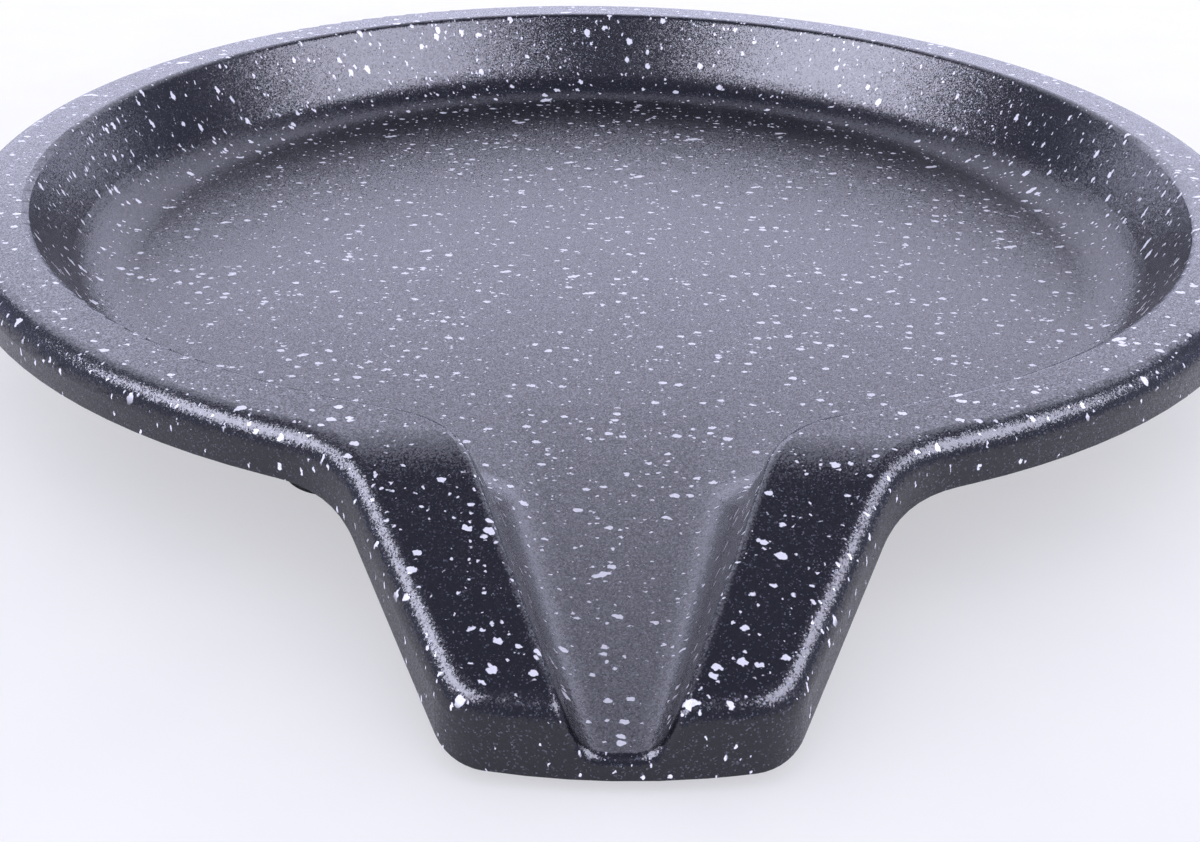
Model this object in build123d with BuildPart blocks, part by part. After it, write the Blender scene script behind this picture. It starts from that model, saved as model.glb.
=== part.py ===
from build123d import *
import math
import os

os.makedirs("parts", exist_ok=True)

# All lengths are in millimetres. The origin is the centre of the flat base's
# underside, +Z is up and the pouring spout points along -Y.

# Round pan
rim_radius = 165.0
rim_skirt_height = 10.5
outer_edge_radius = 5.5

# Spout outline, seen from above
spout_length = 45.0
spout_front_bulge = 2.4
spout_half_width = 28.5
spout_side_angle = 26.0
spout_corner_radius = 11.0
spout_root_radius = 32.0
spout_root_share = 0.6

# Slope of the spout's two wings
spout_drop = 19.0
spout_skirt_height = 13.5
spout_bend_inset = 7.0
spout_bend_radius = 35.0

# Inside of the pan
rim_width = 16.2
floor_depth = 24.5
wall_angle = 28.5
wall_cove_radius = 16.0
inner_edge_radius = 2.0

# Pouring channel, with a root where the wall's cove still runs along it
channel_tip_depth = 10.0
channel_tip_half_width = 6.5
channel_tip_inset = 4.0
channel_head_inset = 52.0
channel_bend_run = 60.0
channel_section_count = 5
channel_start_inset = 24.0
channel_root_length = 36.0
channel_foot_angle = 12.0
channel_wall_angle = 20.5
channel_cove_radius = 5.0
channel_flare_radius = 26.0

# Thickness of the casting
wall_thickness = 4.0
flange_thickness = 4.0
skirt_thickness = 3.5
base_thickness = 5.0
base_edge_radius = 6.0

# Feet, each in a shallow round seat in the underside
foot_radius = 12.0
foot_inset = 14.7
foot_angle = 30.0
foot_stand = 6.5
foot_seat_depth = 1.0
foot_edge_radius = 1.2
foot_play = 0.3

# Boss, screw and washer of each foot
boss_radius = 6.5
boss_height = 2.1
foot_web = 1.4
screw_radius = 2.0
screw_head_radius = 3.8
screw_recess = 0.3
thread_depth = 5.0
drive_radius = 1.25
drive_sides = 6
drive_depth = 1.1
washer_radius = 4.4
washer_thickness = 0.5

# How far a cut or a working solid reaches past the surface it goes through
overrun = 5.0

# What tells one edge or corner from another when they are picked
pick_distance = 0.1
steep_edge_share = 0.5
flat_face_angle = 45.0

# Radii and places in plan that follow from the sizes above
wall_lean = math.tan(math.radians(wall_angle))
rim_inner_radius = rim_radius - rim_width
wall_foot_radius = rim_inner_radius - floor_depth * wall_lean
wall_outer_gap = wall_thickness / math.cos(math.radians(wall_angle))
base_radius = wall_foot_radius + wall_outer_gap - base_thickness * wall_lean
foot_circle_radius = wall_foot_radius - foot_inset
spout_reach = rim_radius + spout_length
spout_bend_y = spout_bend_inset - rim_radius
channel_tip_y = channel_tip_inset - spout_reach
channel_end_y = -channel_tip_inset - spout_reach
channel_head_y = channel_head_inset - wall_foot_radius
channel_start_y = channel_start_inset - wall_foot_radius
channel_root_y = -wall_foot_radius - channel_root_length

# Levels and slopes that follow from the sizes above
rim_height = base_thickness + floor_depth
floor_level = rim_height - floor_depth
base_level = floor_level - base_thickness
channel_tip_level = rim_height - spout_drop - channel_tip_depth
channel_drop = floor_level - channel_tip_level
channel_fall = channel_drop / (channel_start_y - channel_tip_y)
channel_end_fall = channel_drop / (channel_head_y - channel_bend_run / 2 - channel_tip_y)
channel_foot_slope = math.tan(math.radians(channel_foot_angle))
channel_side_lean = math.tan(math.radians(channel_wall_angle)) / math.cos(
    math.radians(channel_foot_angle)
)
skirt_level = rim_height - rim_skirt_height
flange_under_level = rim_height - flange_thickness
spout_corner_y = spout_front_bulge - spout_reach
wing_length = spout_bend_y - spout_corner_y
wing_slope = spout_drop / wing_length
skirt_slope = wing_slope + (spout_skirt_height - rim_skirt_height) / wing_length
foot_level = base_level - foot_stand
foot_seat_level = base_level + foot_seat_depth
boss_level = base_level - boss_height
web_top_level = boss_level - foot_play
web_under_level = web_top_level - foot_web
washer_level = web_under_level - washer_thickness
screw_level = foot_level + screw_recess
screw_top_level = boss_level + thread_depth


def spout_plan(inset):
    """Plan of the round rim with its spout, drawn inset from the edge."""
    side_slope = math.tan(math.radians(spout_side_angle))
    side_inset = inset / math.cos(math.radians(spout_side_angle))
    corner_y = spout_corner_y + inset
    root_y = -rim_radius * spout_root_share
    corner_x = spout_half_width + inset * side_slope - side_inset
    root_x = corner_x + (root_y - corner_y) * side_slope
    rim = rim_radius - inset
    with BuildSketch(Plane.XY) as plan:
        Circle(rim)
        with BuildLine():
            Line((-root_x, root_y), (-corner_x, corner_y))
            ThreePointArc(
                (-corner_x, corner_y),
                (0, inset - spout_reach),
                (corner_x, corner_y),
            )
            Line((corner_x, corner_y), (root_x, root_y))
            Line((root_x, root_y), (-root_x, root_y))
        make_face()
        fillet(plan.vertices().sort_by(Axis.Y)[:2], spout_corner_radius - inset)
        roots = [
            v
            for v in plan.vertices()
            if v.Y < root_y and abs(math.hypot(v.X, v.Y) - rim) < pick_distance
        ]
        fillet(roots, spout_root_radius + inset)
    return plan.sketch


def bent_line(level, slope):
    """Side-view points, level over the pan and falling away along the spout."""
    far_y = -spout_reach - overrun
    return [
        (rim_radius + overrun, level),
        (spout_bend_y, level),
        (far_y, level - (spout_bend_y - far_y) * slope),
    ]


def side_view(upper, lower):
    """Closed side view between two bent lines."""
    with BuildSketch(Plane.YZ) as view:
        with BuildLine():
            FilletPolyline(*upper, radius=spout_bend_radius)
            FilletPolyline(*lower, radius=spout_bend_radius)
            Line(upper[0], lower[0])
            Line(upper[-1], lower[-1])
        make_face()
    return view.sketch


def channel_wedge(gap, end_y, floor_plane):
    """Channel-shaped wedge with leaning sides, a gap wider and lower, down to a plane."""
    tip_x = channel_tip_half_width - overrun * channel_side_lean
    end_x = tip_x + (end_y - channel_tip_y) * channel_foot_slope
    start_x = tip_x + (channel_start_y - channel_tip_y) * channel_foot_slope
    with BuildPart() as wedge:
        with BuildSketch(Plane.XY.offset(channel_tip_level - gap - overrun)):
            with BuildLine():
                Polyline(
                    (-start_x - gap, channel_start_y),
                    (-end_x - gap, end_y),
                    (end_x + gap, end_y),
                    (start_x + gap, channel_start_y),
                    close=True,
                )
            make_face()
        extrude(amount=rim_height + gap + 2 * overrun, taper=-channel_wall_angle)
        split(bisect_by=floor_plane.offset(-gap), keep=Keep.TOP)
    return wedge.part


def channel_section(share):
    """Cross-section of the pouring channel at a share of the way from its head to its end."""
    y = channel_head_y + share * (channel_end_y - channel_head_y)
    run = channel_head_y - y
    bent = min(run, channel_bend_run)
    foot_z = floor_level - channel_end_fall * (bent**2 / (2 * channel_bend_run) + run - bent)
    top_z = rim_height + overrun
    tip_x = channel_tip_half_width + (y - channel_tip_y) * channel_foot_slope
    foot_x = tip_x + (foot_z - channel_tip_level) * channel_side_lean
    top_x = tip_x + (top_z - channel_tip_level) * channel_side_lean
    cove_radius = wall_cove_radius + share * (channel_cove_radius - wall_cove_radius)
    with BuildSketch(Plane(origin=(0, y, 0), x_dir=(1, 0, 0), z_dir=(0, -1, 0))) as section:
        with BuildLine():
            Polyline(
                (-foot_x, foot_z), (-top_x, top_z), (top_x, top_z), (foot_x, foot_z), close=True
            )
        make_face()
        fillet(section.vertices().group_by(Axis.Y)[0], cove_radius)
    return section.sketch


def upright_corners(part):
    """The two upright edges where the channel meets the round wall."""
    return [
        e
        for e in part.edges()
        if e.bounding_box().size.Z > floor_depth * steep_edge_share
        and channel_tip_y < e.center().Y < channel_start_y
        and e.center().Y > -rim_inner_radius
    ]


def foot_places(level):
    """Places of the four feet at one level, two towards the spout and two behind."""
    across = foot_circle_radius * math.sin(math.radians(foot_angle))
    along = foot_circle_radius * math.cos(math.radians(foot_angle))
    return [
        (across, -along, level),
        (across, along, level),
        (-across, along, level),
        (-across, -along, level),
    ]


# Planes that the pan's floor and the casting under the channel follow
pan_floor = Plane.XY.offset(floor_level)
channel_floor = Plane(
    origin=(0, channel_start_y, floor_level),
    x_dir=(1, 0, 0),
    z_dir=(0, -channel_fall, 1),
)

# Hollow under the rim and the wings
with BuildPart() as hollow:
    extrude(spout_plan(skirt_thickness), amount=rim_height, both=True)
    extrude(
        side_view(bent_line(flange_under_level, wing_slope), bent_line(-rim_height, skirt_slope)),
        amount=rim_radius + overrun,
        both=True,
        mode=Mode.INTERSECT,
    )

# Outside of the bowl and of the casting under the channel
with BuildPart() as casting:
    with BuildSketch(Plane.XZ):
        with BuildLine():
            Polyline(
                (0, base_level),
                (base_radius, base_level),
                (rim_inner_radius + wall_outer_gap, rim_height),
                (0, rim_height),
                close=True,
            )
        make_face()
    revolve(axis=Axis.Z)
    fillet(casting.edges().group_by(Axis.Z)[0], base_edge_radius)
    add(channel_wedge(wall_thickness, channel_end_y, channel_floor))
    add(hollow.part, mode=Mode.INTERSECT)

# Pouring channel, whose floor falls and whose coves narrow towards the tip
channel_sections = [
    channel_section(station / (channel_section_count - 1))
    for station in range(channel_section_count)
]
with BuildPart() as channel:
    loft(channel_sections)

# Everything that is hollow inside the pan
with BuildPart() as cavity:
    with BuildSketch(Plane.XZ):
        with BuildLine():
            Polyline(
                (0, floor_level),
                (wall_foot_radius, floor_level),
                (rim_inner_radius + wall_lean * overrun, rim_height + overrun),
                (0, rim_height + overrun),
                close=True,
            )
        make_face()
    revolve(axis=Axis.Z)
    add(channel_wedge(0, channel_root_y, pan_floor))
    fillet(upright_corners(cavity.part), channel_flare_radius)
    foot_edges = cavity.edges().group_by(Axis.Z)[0]
    fillet(
        [e for e in foot_edges if e.center().Y > channel_root_y + pick_distance],
        wall_cove_radius,
    )
    add(channel.part)

# The one-piece cast pan
with BuildPart() as pan_body:
    extrude(spout_plan(0), amount=rim_height, both=True)
    extrude(
        side_view(bent_line(rim_height, wing_slope), bent_line(skirt_level, skirt_slope)),
        amount=rim_radius + overrun,
        both=True,
        mode=Mode.INTERSECT,
    )
    flat_share = math.cos(math.radians(flat_face_angle))
    top_faces = [f for f in pan_body.faces() if f.normal_at().Z > flat_share]
    top_edges = [e for f in top_faces for e in f.edges()]
    fillet(
        [e for e in top_edges if sum(e.is_same(other) for other in top_edges) == 1],
        outer_edge_radius,
    )
    add(hollow.part, mode=Mode.SUBTRACT)
    add(casting.part)
    outer_faces = pan_body.faces()
    add(cavity.part, mode=Mode.SUBTRACT)
    brim_edges = [
        e
        for e in pan_body.edges(Select.NEW)
        if min(f.distance_to(e @ 0.5) for f in outer_faces) < pick_distance
    ]
    fillet(brim_edges, inner_edge_radius)
    with Locations(*foot_places(foot_level)):
        Cylinder(
            foot_radius + foot_play,
            foot_seat_level - foot_level,
            align=(Align.CENTER, Align.CENTER, Align.MIN),
            mode=Mode.SUBTRACT,
        )
    with Locations(*foot_places(boss_level)):
        Cylinder(
            boss_radius,
            foot_seat_level - boss_level,
            align=(Align.CENTER, Align.CENTER, Align.MIN),
        )
        Cylinder(
            screw_radius + foot_play,
            thread_depth + foot_play,
            align=(Align.CENTER, Align.CENTER, Align.MIN),
            mode=Mode.SUBTRACT,
        )
pan_body.part.label = "pan_body"
export_step(pan_body.part, "parts/pan_body.step")

# Four round feet, each with a hollow for its boss and a pocket for its screw
foot_names = ("foot_front_right", "foot_rear_right", "foot_rear_left", "foot_front_left")
for foot_name, (foot_x, foot_y, foot_z) in zip(foot_names, foot_places(foot_level)):
    with BuildPart() as foot:
        with BuildSketch(Plane.XZ.offset(-foot_y)):
            with BuildLine():
                Polyline(
                    (screw_radius + foot_play, web_under_level),
                    (washer_radius + foot_play, web_under_level),
                    (washer_radius + foot_play, foot_level),
                    (foot_radius, foot_level),
                    (foot_radius, foot_seat_level),
                    (boss_radius + foot_play, foot_seat_level),
                    (boss_radius + foot_play, web_top_level),
                    (screw_radius + foot_play, web_top_level),
                    close=True,
                )
            make_face()
        revolve(axis=Axis((0, foot_y, 0), (0, 0, 1)))
        circles = foot.edges().filter_by(GeomType.CIRCLE).sort_by(SortBy.RADIUS)
        fillet(circles[-2:], foot_edge_radius)
    foot_part = foot.part.moved(Location((foot_x, 0, 0)))
    foot_part.label = foot_name
    export_step(foot_part, f"parts/{foot_name}.step")

# A plain washer over each screw head
with BuildPart() as foot_washers:
    with Locations(*foot_places(washer_level)):
        Cylinder(
            washer_radius,
            washer_thickness,
            align=(Align.CENTER, Align.CENTER, Align.MIN),
        )
        Cylinder(
            screw_radius + foot_play,
            washer_thickness,
            align=(Align.CENTER, Align.CENTER, Align.MIN),
            mode=Mode.SUBTRACT,
        )
foot_washers.part.label = "foot_washers"
export_step(foot_washers.part, "parts/foot_washers.step")

# One socket-head screw from below through each foot into its boss
with BuildPart() as foot_screws:
    with Locations(*foot_places(screw_level)):
        Cylinder(
            screw_head_radius,
            washer_level - screw_level,
            align=(Align.CENTER, Align.CENTER, Align.MIN),
        )
        Cylinder(
            screw_radius,
            screw_top_level - screw_level,
            align=(Align.CENTER, Align.CENTER, Align.MIN),
        )
    with BuildSketch(Plane.XY.offset(screw_level)):
        with Locations(*[(x, y) for x, y, z in foot_places(screw_level)]):
            RegularPolygon(drive_radius, drive_sides)
    extrude(amount=drive_depth, mode=Mode.SUBTRACT)
foot_screws.part.label = "foot_screws"
export_step(foot_screws.part, "parts/foot_screws.step")
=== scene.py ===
"""Looks of a cast grill pan with a pouring spout: its stone-effect coating, rubber feet and steel screws.
It stands on a pale studio table, with a soft box on either side and two pale panels behind it.
Lengths are metres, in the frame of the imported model."""
import math

import bpy
from mathutils import Matrix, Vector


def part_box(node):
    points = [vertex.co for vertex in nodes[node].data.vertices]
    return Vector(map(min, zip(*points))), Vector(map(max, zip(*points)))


MM = 0.001

FOOT_NODES = ("foot_front_right", "foot_rear_right", "foot_rear_left", "foot_front_left")
STEEL_NODES = ("foot_washers", "foot_screws")

# the photograph's viewing place: a short lens near the spout, a little left of its middle line
CAMERA_PLACE = (-7.4 * MM, -424.5 * MM, 178.6 * MM)
CAMERA_PITCH = 28.25
CAMERA_TURN = 0.78
CAMERA_ROLL = 1.16
CAMERA_LENS = 50.13
SENSOR_WIDTH = 36.0
CLIP_START = 10 * MM

# the coating: charcoal with a metal grain, and flecks sprayed over it. Real flake is finer than this
# grain, which is as coarse as it needs to be to show
COAT_CLOUD_MM = 14.0
COAT_DARK = "#0b0c13"
COAT_LIGHT = "#101119"
FLAKE_COLOUR = "#8f91a6"
FLECK_COLOUR = "#d6d6e6"
GRAIN_MM = 0.28
FLAKE_START = 0.90
FLAKE_METAL = 0.27
GRAIN_MIDDLE = (0.5, 0.5, 0.5)
BASE_TILT = 0.21
FLAKE_TILT = 0.45
COAT_ROUGHNESS = 0.24
COAT_IOR = 1.5

# the flecks' shapes: how far noise shifts their edges, the blur there, the share of cells left bare,
# the squeeze along z, and the normals' z where a face grows too steep or turns down for them
EDGE_MM = 1.0
EDGE_SHIFT_MM = 1.2
EDGE_BLUR_MM = 0.12
BARE_SHARE = 0.35
HEIGHT_SQUEEZE = 0.4
STEEP_START = 0.2
STEEP_END = 0.45
UNDERSIDE_START = -0.5
UNDERSIDE_END = -0.1

# each spray of flecks: cell between drops in mm, largest drop's radius in mm, stretch along x and y,
# turn in degrees, and whether it lands on the steep sides too
FLECK_SPRAYS = (
    (1.35, 0.42, (0.9, 1.0), 0.0, True),  # fine drops
    (2.9, 0.92, (0.80, 1.15), 12.0, False),  # middling drops
    (9.0, 1.4, (0.60, 1.5), -22.0, False),  # coarse drops
    (6.5, 0.55, (0.35, 1.6), 10.0, True),  # streaks
)

# the feet's rubber
RUBBER_DARK = "#0e0e10"
RUBBER_BLOOM = "#1f1f22"
RUBBER_GRAIN_MM = 0.6
RUBBER_BLOOM_MM = 7.0
RUBBER_RELIEF = 0.05 * MM
RUBBER_BUMP = 0.4
RUBBER_SMOOTHEST = 0.62
RUBBER_ROUGHEST = 0.82
RUBBER_IOR = 1.43

# the screws' and washers' steel
STEEL_DARK = "#8f8f93"
STEEL_LIGHT = "#b9babd"
STEEL_WEAR_MM = 2.5
STEEL_SCRATCH_MM = 0.25
STEEL_RELIEF = 0.01 * MM
STEEL_BUMP = 0.2
STEEL_SMOOTHEST = 0.26
STEEL_ROUGHEST = 0.44

# the table, which the camera sees as a mix of lit board and plain backdrop
TABLE_SIZE = 12.0
TABLE_COLOUR = "#fafafd"
TABLE_SHADE = "#f5f5fa"
TABLE_MOTTLE_MM = 30.0
TABLE_ROUGHNESS = 0.6
TABLE_SPECULAR = 0.2
BACKDROP_SHARE = 0.5

# the lit panels that the coating mirrors, while the room lights the matt surfaces: name, angle round from
# the spout's side of the room, elevation, distance, width, height, radiance
SOFT_BOXES = (
    ("right_soft_box", 62.0, 42.0, 1.3, 1.25, 0.58, 14.0),
    ("left_soft_box", -62.0, 42.0, 1.3, 1.25, 0.60, 17.0),
    ("back_panel", 180.0, 20.0, 2.4, 3.80, 1.30, 2.5),
    ("upper_back_panel", 180.0, 48.0, 2.4, 3.60, 1.10, 2.0),
)
BOX_COLOUR = "#e8e8ff"

# the room: its light on matt surfaces, and what shiny ones mirror, from the horizon up to the ceiling
SEEN_COLOUR = "#fcfcff"
ROOM_COLOUR = "#f4f4ff"
GLOSS_COLOUR = "#c9d0ff"
HORIZON_LIGHT = 5.6
CEILING_LIGHT = 0.80
CEILING_LIGHT_START = 0.45
HORIZON_GLOSS = 0.8
CEILING_GLOSS = 0.46
HORIZON_GLOSS_TOP = 0.15
CEILING_GLOSS_START = 0.42


def linear(hex_colour):
    """An sRGB hex colour as the linear values that Blender's sockets take."""
    channels = [int(hex_colour[i:i + 2], 16) / 255 for i in (1, 3, 5)]
    return tuple(c / 12.92 if c <= 0.04045 else ((c + 0.055) / 1.055) ** 2.4 for c in channels) + (1.0,)


def add_node(tree, kind, inputs=None, **settings):
    """Adds a node. An input's value is a number, a colour, or an output socket of another node to link."""
    node = tree.nodes.new(kind)
    for name, value in settings.items():
        setattr(node, name, value)
    for name, value in (inputs or {}).items():
        if isinstance(value, bpy.types.NodeSocket):
            tree.links.new(value, node.inputs[name])
        else:
            node.inputs[name].default_value = value
    return node


def new_material(name):
    """A material with an empty tree, and its output node."""
    material = bpy.data.materials.new(name)
    material.use_nodes = True
    tree = material.node_tree
    tree.nodes.clear()
    return material, tree, tree.nodes.new("ShaderNodeOutputMaterial")


def per_metre(size_mm):
    """The scale of a texture whose cells or waves are that many millimetres across."""
    return 1 / (size_mm * MM)


def spray_mask(tree, place, cell_mm, radius_mm, stretch, turn):
    """Where the drops of one spray lie: 1 on a drop, 0 beside it. Each drop has its own size."""
    turned = add_node(tree, "ShaderNodeMapping", {
        "Vector": place, "Rotation": (0, 0, math.radians(turn))})
    stretched = add_node(tree, "ShaderNodeMapping", {
        "Vector": turned.outputs[0], "Scale": (*stretch, HEIGHT_SQUEEZE)})
    cells = add_node(tree, "ShaderNodeTexVoronoi", {
        "Vector": stretched.outputs[0], "Scale": per_metre(cell_mm)}, feature="F1", voronoi_dimensions="3D")
    pick = add_node(tree, "ShaderNodeSeparateColor", {"Color": cells.outputs["Color"]})
    size = add_node(tree, "ShaderNodeMapRange", {
        "Value": pick.outputs["Red"], "From Min": BARE_SHARE, "From Max": 1.0,
        "To Min": 0.0, "To Max": radius_mm / cell_mm})
    left = add_node(tree, "ShaderNodeMath", {0: size.outputs[0], 1: cells.outputs["Distance"]},
                    operation="SUBTRACT")
    return add_node(tree, "ShaderNodeMapRange", {
        "Value": left.outputs[0], "From Min": 0.0, "From Max": EDGE_BLUR_MM / cell_mm}).outputs[0]


def stone_coating():
    """Non-stick coating on die-cast aluminium, sprayed charcoal with metal flake and white flecks from above.
    It gives the eye a satin sheen that breaks into fine sparkle at the edges."""
    material, tree, out = new_material("sprayed_stone_effect_coating")
    place = add_node(tree, "ShaderNodeTexCoord").outputs["Object"]
    surface = add_node(tree, "ShaderNodeNewGeometry").outputs["Normal"]

    cloud = add_node(tree, "ShaderNodeTexNoise", {
        "Vector": place, "Scale": per_metre(COAT_CLOUD_MM), "Detail": 3.0})
    charcoal = add_node(tree, "ShaderNodeMix", {
        "Factor": cloud.outputs["Fac"], "A": linear(COAT_DARK), "B": linear(COAT_LIGHT)}, data_type="RGBA")

    grains = add_node(tree, "ShaderNodeTexVoronoi", {"Vector": place, "Scale": per_metre(GRAIN_MM)},
                      feature="F1", voronoi_dimensions="3D")
    grain_pick = add_node(tree, "ShaderNodeSeparateColor", {"Color": grains.outputs["Color"]})
    flake = add_node(tree, "ShaderNodeMapRange", {
        "Value": grain_pick.outputs["Red"], "From Min": FLAKE_START, "From Max": 1.0, "To Max": FLAKE_METAL})

    ragged_edge = add_node(tree, "ShaderNodeTexNoise", {
        "Vector": place, "Scale": per_metre(EDGE_MM), "Detail": 1.0})
    shift = add_node(tree, "ShaderNodeVectorMath", {
        0: ragged_edge.outputs["Color"], 1: (EDGE_SHIFT_MM * MM,) * 3, 2: place}, operation="MULTIPLY_ADD")
    faces_up = add_node(tree, "ShaderNodeSeparateXYZ", {"Vector": surface})
    gentle_slope = add_node(tree, "ShaderNodeMapRange", {
        "Value": faces_up.outputs["Z"], "From Min": STEEP_START, "From Max": STEEP_END}).outputs[0]
    flecks = 0.0
    for cell_mm, radius_mm, stretch, turn, on_sides in FLECK_SPRAYS:
        spray = spray_mask(tree, shift.outputs[0], cell_mm, radius_mm, stretch, turn)
        if not on_sides:
            spray = add_node(tree, "ShaderNodeMath", {0: spray, 1: gentle_slope},
                             operation="MULTIPLY").outputs[0]
        flecks = add_node(tree, "ShaderNodeMath", {0: flecks, 1: spray}, operation="MAXIMUM").outputs[0]
    seen_from_above = add_node(tree, "ShaderNodeMapRange", {
        "Value": faces_up.outputs["Z"], "From Min": UNDERSIDE_START, "From Max": UNDERSIDE_END})
    flecks = add_node(tree, "ShaderNodeMath", {0: flecks, 1: seen_from_above.outputs[0]},
                      operation="MULTIPLY").outputs[0]
    bare = add_node(tree, "ShaderNodeMath", {0: 1.0, 1: flecks}, operation="SUBTRACT")
    metal = add_node(tree, "ShaderNodeMath", {0: flake.outputs[0], 1: bare.outputs[0]}, operation="MULTIPLY")

    flaked = add_node(tree, "ShaderNodeMix", {
        "Factor": flake.outputs[0], "A": charcoal.outputs["Result"], "B": linear(FLAKE_COLOUR)},
        data_type="RGBA")
    colour = add_node(tree, "ShaderNodeMix", {
        "Factor": flecks, "A": flaked.outputs["Result"], "B": linear(FLECK_COLOUR)}, data_type="RGBA")

    lean = add_node(tree, "ShaderNodeVectorMath", {0: grains.outputs["Color"], 1: GRAIN_MIDDLE},
                    operation="SUBTRACT")
    lean_size = add_node(tree, "ShaderNodeMapRange", {
        "Value": metal.outputs[0], "To Min": BASE_TILT, "To Max": FLAKE_TILT})
    leaning = add_node(tree, "ShaderNodeVectorMath", {0: lean.outputs[0], "Scale": lean_size.outputs[0]},
                       operation="SCALE")
    tilted = add_node(tree, "ShaderNodeVectorMath", {0: surface, 1: leaning.outputs[0]}, operation="ADD")
    tilted = add_node(tree, "ShaderNodeVectorMath", {0: tilted.outputs[0]}, operation="NORMALIZE")

    shader = add_node(tree, "ShaderNodeBsdfPrincipled", {
        "Base Color": colour.outputs["Result"], "Metallic": metal.outputs[0], "Roughness": COAT_ROUGHNESS,
        "IOR": COAT_IOR, "Normal": tilted.outputs[0]})
    tree.links.new(shader.outputs[0], out.inputs["Surface"])
    return material


def moulded_rubber():
    """Heat-proof silicone rubber, moulded black with a fine matt bloom."""
    material, tree, out = new_material("moulded_silicone_rubber")
    place = add_node(tree, "ShaderNodeTexCoord").outputs["Object"]
    grain = add_node(tree, "ShaderNodeTexNoise", {
        "Vector": place, "Scale": per_metre(RUBBER_GRAIN_MM), "Detail": 3.0})
    bloom = add_node(tree, "ShaderNodeTexNoise", {
        "Vector": place, "Scale": per_metre(RUBBER_BLOOM_MM), "Detail": 4.0})
    colour = add_node(tree, "ShaderNodeMix", {
        "Factor": bloom.outputs["Fac"], "A": linear(RUBBER_DARK), "B": linear(RUBBER_BLOOM)},
        data_type="RGBA")
    roughness = add_node(tree, "ShaderNodeMapRange", {
        "Value": grain.outputs["Fac"], "To Min": RUBBER_SMOOTHEST, "To Max": RUBBER_ROUGHEST})
    bump = add_node(tree, "ShaderNodeBump", {
        "Height": grain.outputs["Fac"], "Strength": RUBBER_BUMP, "Distance": RUBBER_RELIEF})
    shader = add_node(tree, "ShaderNodeBsdfPrincipled", {
        "Base Color": colour.outputs["Result"], "Roughness": roughness.outputs[0], "IOR": RUBBER_IOR,
        "Normal": bump.outputs["Normal"]})
    tree.links.new(shader.outputs[0], out.inputs["Surface"])
    return material


def turned_steel():
    """Stainless steel, turned and tumbled: a grey metal with a soft, slightly uneven shine."""
    material, tree, out = new_material("turned_stainless_steel")
    place = add_node(tree, "ShaderNodeTexCoord").outputs["Object"]
    wear = add_node(tree, "ShaderNodeTexNoise", {
        "Vector": place, "Scale": per_metre(STEEL_WEAR_MM), "Detail": 4.0})
    scratch = add_node(tree, "ShaderNodeTexNoise", {
        "Vector": place, "Scale": per_metre(STEEL_SCRATCH_MM), "Detail": 2.0})
    colour = add_node(tree, "ShaderNodeMix", {
        "Factor": wear.outputs["Fac"], "A": linear(STEEL_DARK), "B": linear(STEEL_LIGHT)}, data_type="RGBA")
    roughness = add_node(tree, "ShaderNodeMapRange", {
        "Value": wear.outputs["Fac"], "To Min": STEEL_SMOOTHEST, "To Max": STEEL_ROUGHEST})
    bump = add_node(tree, "ShaderNodeBump", {
        "Height": scratch.outputs["Fac"], "Strength": STEEL_BUMP, "Distance": STEEL_RELIEF})
    shader = add_node(tree, "ShaderNodeBsdfPrincipled", {
        "Base Color": colour.outputs["Result"], "Metallic": 1.0, "Roughness": roughness.outputs[0],
        "Normal": bump.outputs["Normal"]})
    tree.links.new(shader.outputs[0], out.inputs["Surface"])
    return material


def finish_nodes(nodes, names, material):
    """Gives every material slot of the named CAD nodes this material."""
    for name in names:
        slots = nodes[name].data.materials
        if not slots:
            slots.append(material)
        for index in range(len(slots)):
            slots[index] = material


def table_surface():
    """Painted board, sanded smooth: a near-white matt table with faint mottling."""
    material, tree, out = new_material("painted_table_board")
    place = add_node(tree, "ShaderNodeTexCoord").outputs["Object"]
    mottle = add_node(tree, "ShaderNodeTexNoise", {
        "Vector": place, "Scale": per_metre(TABLE_MOTTLE_MM), "Detail": 5.0})
    colour = add_node(tree, "ShaderNodeMix", {
        "Factor": mottle.outputs["Fac"], "A": linear(TABLE_SHADE), "B": linear(TABLE_COLOUR)},
        data_type="RGBA")
    board = add_node(tree, "ShaderNodeBsdfPrincipled", {
        "Base Color": colour.outputs["Result"], "Roughness": TABLE_ROUGHNESS,
        "Specular IOR Level": TABLE_SPECULAR})
    backdrop = add_node(tree, "ShaderNodeEmission", {"Color": colour.outputs["Result"], "Strength": 1.0})
    camera_ray = add_node(tree, "ShaderNodeLightPath").outputs["Is Camera Ray"]
    lift = add_node(tree, "ShaderNodeMath", {0: camera_ray, 1: BACKDROP_SHARE}, operation="MULTIPLY")
    shader = add_node(tree, "ShaderNodeMixShader", {
        0: lift.outputs[0], 1: board.outputs[0], 2: backdrop.outputs[0]})
    tree.links.new(shader.outputs[0], out.inputs["Surface"])
    return material


def lay_table(level):
    """The pale table under the feet."""
    bpy.ops.object.select_all(action="DESELECT")
    bpy.ops.mesh.primitive_plane_add(size=TABLE_SIZE, location=(0, 0, level))
    table = bpy.context.object
    table.name = "studio_table"
    table.data.materials.append(table_surface())


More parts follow.
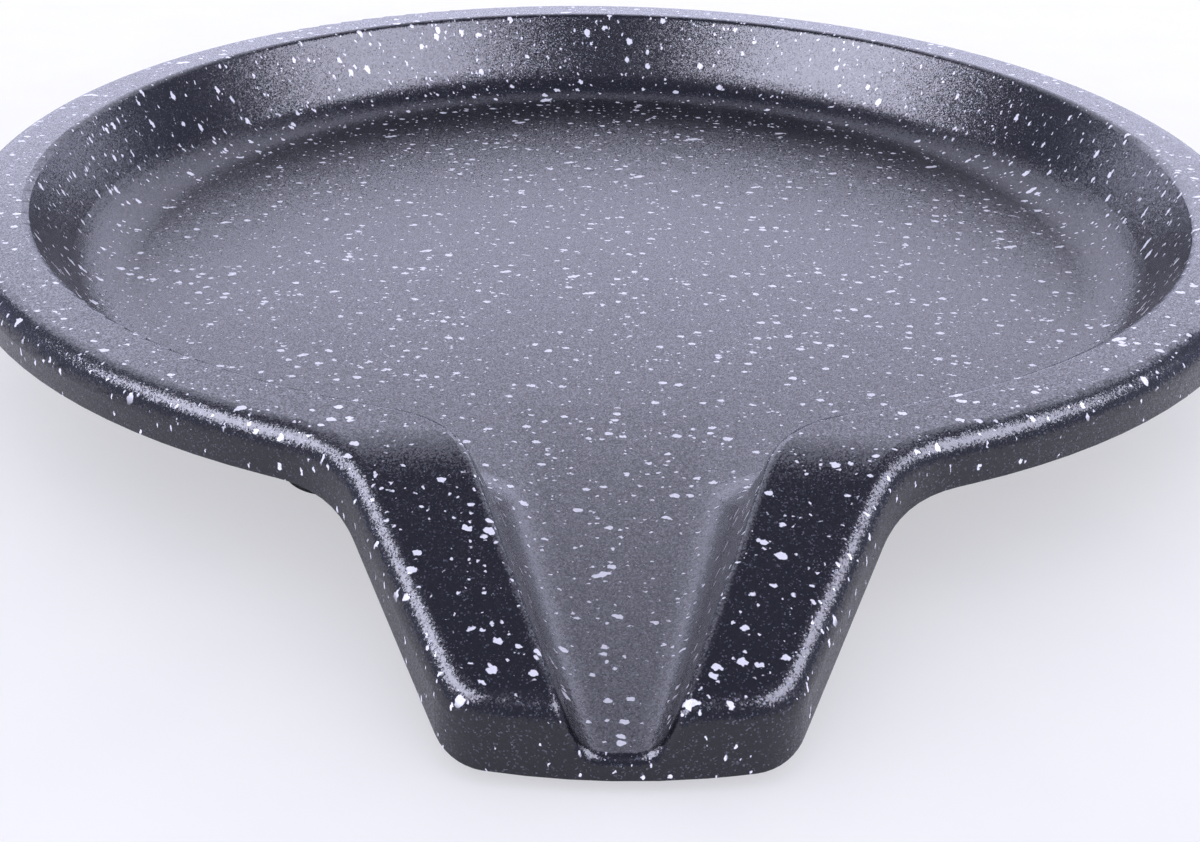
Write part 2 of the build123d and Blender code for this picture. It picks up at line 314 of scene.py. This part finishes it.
def light_room():
    """A white room. Matt surfaces are lit by it most from the horizon, shiny ones mirror a pale backdrop
    that darkens towards the ceiling, and the camera sees it plain."""
    world = bpy.data.worlds.new("studio_room")
    bpy.context.scene.world = world
    world.use_nodes = True
    tree = world.node_tree
    tree.nodes.clear()
    out = tree.nodes.new("ShaderNodeOutputWorld")
    rays = add_node(tree, "ShaderNodeLightPath").outputs
    way = add_node(tree, "ShaderNodeSeparateXYZ", {
        "Vector": add_node(tree, "ShaderNodeTexCoord").outputs["Generated"]})
    mirrored = add_node(tree, "ShaderNodeMapRange", {
        "Value": way.outputs["Z"], "From Min": HORIZON_GLOSS_TOP, "From Max": CEILING_GLOSS_START,
        "To Min": HORIZON_GLOSS, "To Max": CEILING_GLOSS}, interpolation_type="SMOOTHSTEP")
    daylight = add_node(tree, "ShaderNodeMapRange", {
        "Value": way.outputs["Z"], "From Min": 0.0, "From Max": CEILING_LIGHT_START,
        "To Min": HORIZON_LIGHT, "To Max": CEILING_LIGHT})
    diffuse_room = add_node(tree, "ShaderNodeBackground", {
        "Color": linear(ROOM_COLOUR), "Strength": daylight.outputs[0]})
    glossy_room = add_node(tree, "ShaderNodeBackground", {
        "Color": linear(GLOSS_COLOUR), "Strength": mirrored.outputs[0]})
    seen_room = add_node(tree, "ShaderNodeBackground", {"Color": linear(SEEN_COLOUR), "Strength": 1.0})
    gloss = add_node(tree, "ShaderNodeMath", {
        0: rays["Is Glossy Ray"], 1: rays["Is Transmission Ray"]}, operation="MAXIMUM")
    lit = add_node(tree, "ShaderNodeMixShader", {
        0: gloss.outputs[0], 1: diffuse_room.outputs[0], 2: glossy_room.outputs[0]})
    shown = add_node(tree, "ShaderNodeMixShader", {
        0: rays["Is Camera Ray"], 1: lit.outputs[0], 2: seen_room.outputs[0]})
    tree.links.new(shown.outputs[0], out.inputs["Surface"])


def hang_soft_box(name, azimuth, elevation, distance, width, height, radiance):
    """A soft box or panel that faces the pan, and that only shiny surfaces show. Azimuth 0 is the spout's
    side, and positive is to its right."""
    tilt = math.radians(elevation)
    turn = math.radians(azimuth)
    reach = distance * math.cos(tilt)
    bpy.ops.object.light_add(type="AREA", location=(
        reach * math.sin(turn), -reach * math.cos(turn), distance * math.sin(tilt)))
    box = bpy.context.object
    box.name = name
    box.rotation_euler = (math.pi / 2 - tilt, 0, turn)
    box.visible_camera = False
    box.visible_diffuse = False
    box.data.shape = "RECTANGLE"
    box.data.size = width
    box.data.size_y = height
    box.data.energy = math.pi * width * height * radiance
    box.data.color = linear(BOX_COLOUR)[:3]


def place_camera():
    """The photograph's camera."""
    view = bpy.data.cameras.new("photo_camera")
    view.lens = CAMERA_LENS
    view.sensor_width = SENSOR_WIDTH
    view.clip_start = CLIP_START
    camera = bpy.data.objects.new("photo_camera", view)
    bpy.context.scene.collection.objects.link(camera)
    camera.matrix_world = (Matrix.Translation(CAMERA_PLACE)
                           @ Matrix.Rotation(-math.radians(CAMERA_TURN), 4, "Z")
                           @ Matrix.Rotation(math.pi / 2 - math.radians(CAMERA_PITCH), 4, "X")
                           @ Matrix.Rotation(math.radians(CAMERA_ROLL), 4, "Z"))
    bpy.context.scene.camera = camera


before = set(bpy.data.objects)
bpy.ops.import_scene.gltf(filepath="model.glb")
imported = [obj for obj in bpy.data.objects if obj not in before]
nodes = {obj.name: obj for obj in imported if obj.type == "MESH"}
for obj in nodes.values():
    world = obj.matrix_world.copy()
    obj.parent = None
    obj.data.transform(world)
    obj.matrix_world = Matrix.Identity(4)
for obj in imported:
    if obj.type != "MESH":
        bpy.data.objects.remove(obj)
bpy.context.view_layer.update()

finish_nodes(nodes, ["pan_body"], stone_coating())
finish_nodes(nodes, FOOT_NODES, moulded_rubber())
finish_nodes(nodes, STEEL_NODES, turned_steel())

lay_table(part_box(FOOT_NODES[0])[0].z)
light_room()
for soft_box in SOFT_BOXES:
    hang_soft_box(*soft_box)
place_camera()
bpy.context.scene.view_settings.view_transform = "Standard"
